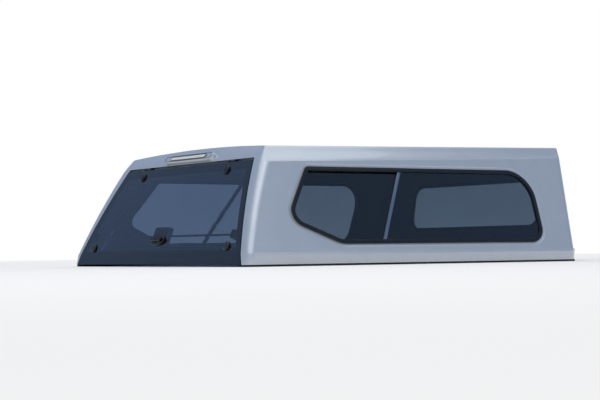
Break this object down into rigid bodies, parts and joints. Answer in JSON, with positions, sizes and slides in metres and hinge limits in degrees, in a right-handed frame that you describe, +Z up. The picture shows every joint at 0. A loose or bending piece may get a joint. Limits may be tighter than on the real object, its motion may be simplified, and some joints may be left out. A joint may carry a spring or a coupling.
{
  "type": "pickup truck canopy",
  "caption": "Fibreglass canopy for a pickup bed, with a lift-up rear glass door on hinges and gas struts, a turning door handle and tinted side windows.",
  "frame": {"origin": "centre of the canopy's footprint, on the underside of its base seals", "axes": "+X to the truck's right, +Y to the front of the truck, +Z up; the rear glass door faces -Y"},
  "size_m": [1.52, 1.744, 0.5183],
  "materials": {
    "body_paint": "silver metallic clear-coated paint on fibreglass",
    "roof_lining": "charcoal felt",
    "black_rubber": "matt black rubber",
    "black_frame": "satin black coated aluminium",
    "inner_trim": "satin black coated aluminium",
    "grey_mullion": "satin grey anodised",
    "side_glass": "dark tinted glass",
    "rear_glass": "dark blue-grey tinted glass",
    "clear_lens": "clear ribbed lens",
    "black_plastic": "satin black moulded plastic",
    "black_steel": "black powder coat",
    "bright_steel": "polished steel"
  },
  "bodies": {
    "canopy": {"shell": "body_paint", "headliner": "roof_lining", "base_seal_front": "black_rubber", "door_seal_top": "black_rubber", "front_window_seal": "black_rubber", "front_window_glass": "side_glass", "brake_light_housing": "body_paint", "brake_light_lens": "clear_lens", "base_seal_right": "black_rubber", "base_seal_left": "black_rubber", "door_seal_right": "black_rubber", "door_seal_left": "black_rubber", "window_frame_right": "black_frame", "window_frame_left": "black_frame", "window_trim_right": "inner_trim", "window_trim_left": "inner_trim", "window_mullion_right": "grey_mullion", "window_mullion_left": "grey_mullion", "fixed_pane_right": "side_glass", "fixed_pane_left": "side_glass", "sliding_pane_right": "side_glass", "sliding_pane_left": "side_glass", "hinge_bracket_right": "black_steel", "hinge_bracket_left": "black_steel", "strut_bracket_right": "black_steel", "strut_bracket_left": "black_steel", "striker_right": "bright_steel", "striker_left": "bright_steel"},
    "rear_door": {"door_glass": "rear_glass", "handle_base": "black_plastic", "latch_case": "black_steel", "latch_rods": "black_steel", "hinge_leaf_right": "black_steel", "hinge_leaf_left": "black_steel", "hinge_cap_right": "black_plastic", "hinge_cap_left": "black_plastic", "strut_foot_right": "black_steel", "strut_foot_left": "black_steel", "latch_right": "black_steel", "latch_left": "black_steel"},
    "handle": {"handle_grip": "black_plastic"},
    "cylinder_right": {"strut_cylinder_right": "black_steel"},
    "rod_right": {"strut_rod_right": "bright_steel"},
    "cylinder_left": {"strut_cylinder_left": "black_steel"},
    "rod_left": {"strut_rod_left": "bright_steel"}
  },
  "joints": [
    {"name": "door_hinge", "type": "hinge", "parent": "canopy", "child": "rear_door", "pos_m": [0, -0.69771, 0.42505], "axis": [-1, 0, 0], "range_deg": [0, 75]},
    {"name": "handle_turn", "type": "hinge", "parent": "rear_door", "child": "handle", "pos_m": [0, -0.842, 0.11], "axis": [0, -0.9361, 0.3518], "range_deg": [0, 90]},
    {"name": "strut_swing_right", "type": "hinge", "parent": "canopy", "child": "cylinder_right", "pos_m": [0.5, -0.65, 0.36], "axis": [-0.9636, -0.2217, -0.1497], "range_deg": [0, 70.08]},
    {"name": "strut_extend_right", "type": "slide", "parent": "cylinder_right", "child": "rod_right", "axis": [0.2416, -0.4813, -0.8426], "range_m": [0, 0.09388]},
    {"name": "strut_swing_left", "type": "hinge", "parent": "canopy", "child": "cylinder_left", "pos_m": [-0.5, -0.65, 0.36], "axis": [-0.9636, 0.2217, 0.1497], "range_deg": [0, 70.08]},
    {"name": "strut_extend_left", "type": "slide", "parent": "cylinder_left", "child": "rod_left", "axis": [-0.2416, -0.4813, -0.8426], "range_m": [0, 0.09388]}
  ],
  "couplings": [
    {"joint": "strut_swing_right", "follows": "door_hinge", "ratio": 0.93428},
    {"joint": "strut_extend_right", "follows": "door_hinge", "m_per_rad": 0.071714},
    {"joint": "strut_swing_left", "follows": "door_hinge", "ratio": 0.93428},
    {"joint": "strut_extend_left", "follows": "door_hinge", "m_per_rad": 0.071714}
  ]
}
